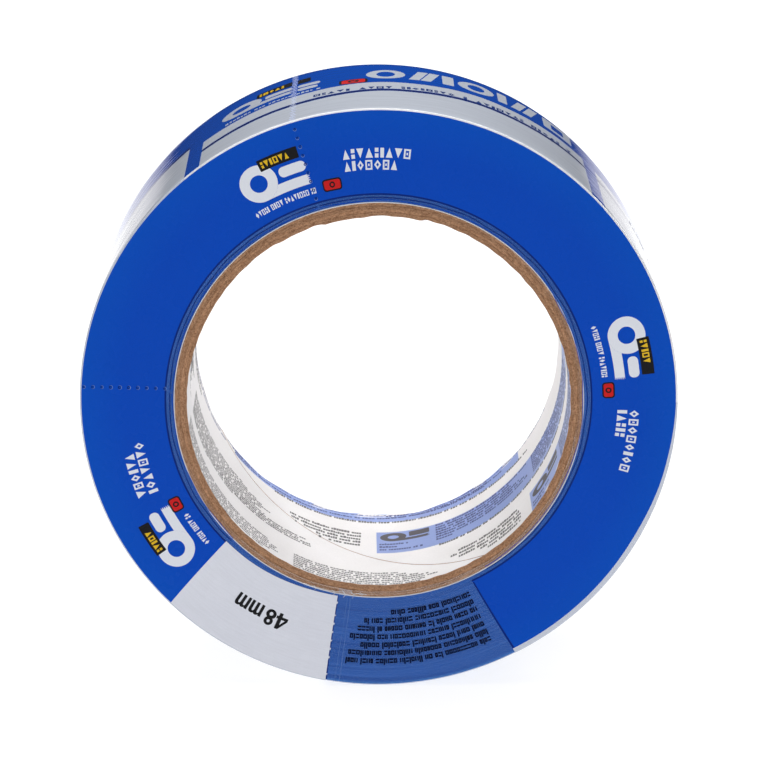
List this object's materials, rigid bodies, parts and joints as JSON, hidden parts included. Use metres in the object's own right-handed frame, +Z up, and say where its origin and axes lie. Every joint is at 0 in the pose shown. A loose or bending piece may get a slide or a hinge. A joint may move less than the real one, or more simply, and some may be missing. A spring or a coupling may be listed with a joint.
{
  "type": "masking tape roll",
  "caption": "Roll of blue crepe masking tape on a spiral-wound paperboard core, in a printed shrink film with a tear-off panel.",
  "frame": {"origin": "centre of the roll, on its axis and midway between its faces", "axes": "+Y along the roll's axis, from the front face to the rear; +Z up, with the roll standing on its rim"},
  "size_m": [0.1188, 0.0486, 0.1188],
  "materials": {
    "film_blue": "glossy printed film",
    "film_gray": "glossy printed film",
    "tape_blue": "crepe paper, matt",
    "paper_white": "printed paper, satin",
    "kraft": "raw board, matt"
  },
  "bodies": {
    "roll": {"core_inner_liner": "paper_white", "core_kraft_ply_1": "kraft", "core_kraft_ply_2": "kraft", "core_kraft_ply_3": "kraft", "core_kraft_ply_4": "kraft", "core_outer_liner": "paper_white", "tape_winding": "tape_blue", "tape_last_lap": "tape_blue", "film_main_panel": "film_blue", "film_size_panel": "film_gray", "film_seam_overlap": "film_gray"},
    "tear_panel": {"film_tear_panel": "film_blue"},
    "tape_end": {"tape_free_end": "tape_blue"}
  },
  "joints": [
    {"name": "film_tear_off", "type": "slide", "parent": "roll", "child": "tear_panel", "axis": [-0.7826, 0, 0.6225], "range_m": [0, 0.036]},
    {"name": "tape_end_peel", "type": "hinge", "parent": "roll", "child": "tape_end", "pos_m": [-0.05053, 0, 0.03036], "axis": [0, -1, 0], "range_deg": [0, 35]}
  ],
  "couplings": [
    {"joint": "tape_end_peel", "follows": "film_tear_off", "rad_per_m": 16.9}
  ]
}
